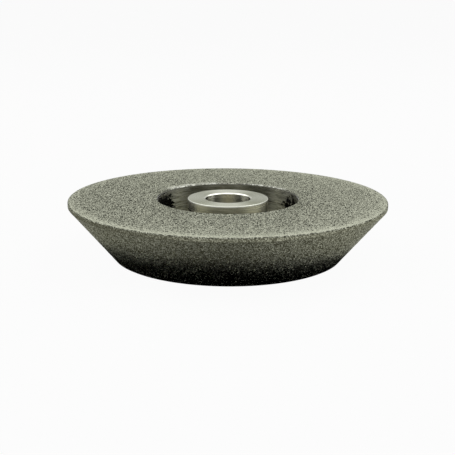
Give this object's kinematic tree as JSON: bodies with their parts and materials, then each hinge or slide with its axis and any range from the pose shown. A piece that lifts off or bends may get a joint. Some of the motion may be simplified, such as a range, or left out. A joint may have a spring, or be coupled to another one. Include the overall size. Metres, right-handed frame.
{
  "type": "plated grinding wheel",
  "caption": "Dish-shaped steel grinding wheel with a plated abrasive coat on its flat face, rim and sloping flank, and a plain bored hub in a deep face recess.",
  "frame": {"origin": "centre of the back face, on the spindle axis", "axes": "+Z along the spindle axis, out of the flat grinding face; X and Y are alike, because the wheel is round"},
  "size_m": [0.07, 0.07, 0.0127],
  "materials": {
    "turned_steel": "bare turned steel with fine tool marks round the axis, bright on the hub and darker in the recess",
    "plated_grit": "fine abrasive grains held in plated nickel: a dull greenish grey, rough, with small bright and dark specks"
  },
  "bodies": {
    "root": {"steel_body": "turned_steel", "abrasive_coat": "plated_grit"}
  },
  "joints": []
}
